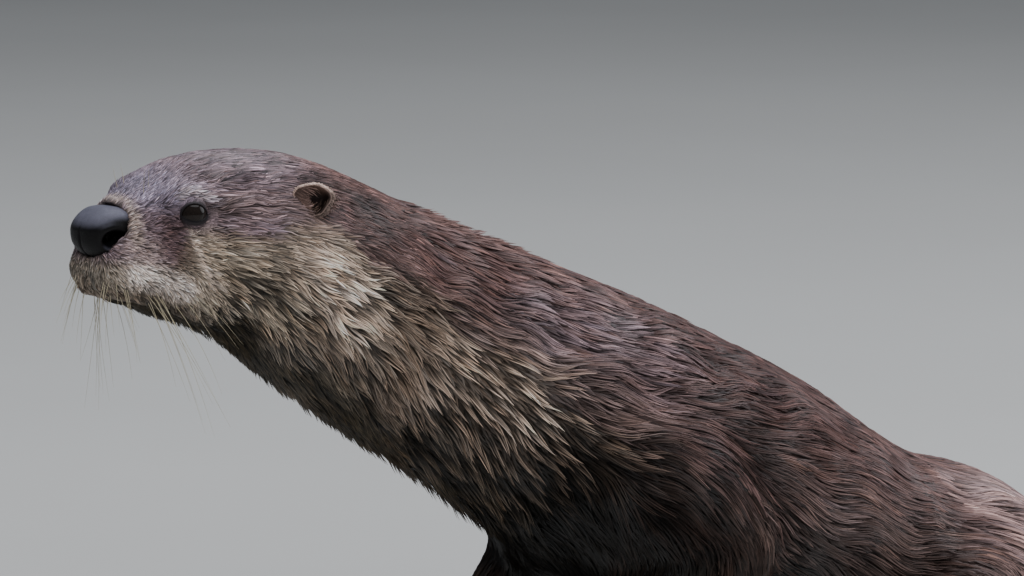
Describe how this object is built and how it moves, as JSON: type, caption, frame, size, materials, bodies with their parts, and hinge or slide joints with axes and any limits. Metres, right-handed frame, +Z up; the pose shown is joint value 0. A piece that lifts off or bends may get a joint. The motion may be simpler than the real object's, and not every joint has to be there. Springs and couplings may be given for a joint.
{
  "type": "river otter",
  "caption": "Life-size still model of a river otter sitting back on its haunches, forelegs straight, head raised, thick tail laid back along the floor.",
  "frame": {"origin": "centre of the bounding box's bottom face, on the floor the otter rests on", "axes": "+X towards the tail tip, along the animal's length; +Y to the animal's right; +Z up"},
  "size_m": [1.0142, 0.2388, 0.2947],
  "materials": {
    "coat": "wet fur, semi-glossy",
    "eye": "glossy, dark",
    "nose": "damp, pebbled",
    "claw": "smooth horn"
  },
  "bodies": {
    "root": {"head": "coat", "neck": "coat", "trunk": "coat", "tail_base": "coat", "tail_end": "coat", "foreleg_left": "coat", "forepaw_left": "coat", "hindleg_left": "coat", "hindfoot_left": "coat", "ear_left": "coat", "foreleg_right": "coat", "forepaw_right": "coat", "hindleg_right": "coat", "hindfoot_right": "coat", "ear_right": "coat", "eye_left": "eye", "eye_right": "eye", "nose": "nose", "claw_fore_left_1": "claw", "claw_fore_left_2": "claw", "claw_fore_left_3": "claw", "claw_fore_left_4": "claw", "claw_fore_left_5": "claw", "claw_fore_right_1": "claw", "claw_fore_right_2": "claw", "claw_fore_right_3": "claw", "claw_fore_right_4": "claw", "claw_fore_right_5": "claw", "claw_hind_left_1": "claw", "claw_hind_left_2": "claw", "claw_hind_left_3": "claw", "claw_hind_left_4": "claw", "claw_hind_left_5": "claw", "claw_hind_right_1": "claw", "claw_hind_right_2": "claw", "claw_hind_right_3": "claw", "claw_hind_right_4": "claw", "claw_hind_right_5": "claw"}
  },
  "joints": []
}
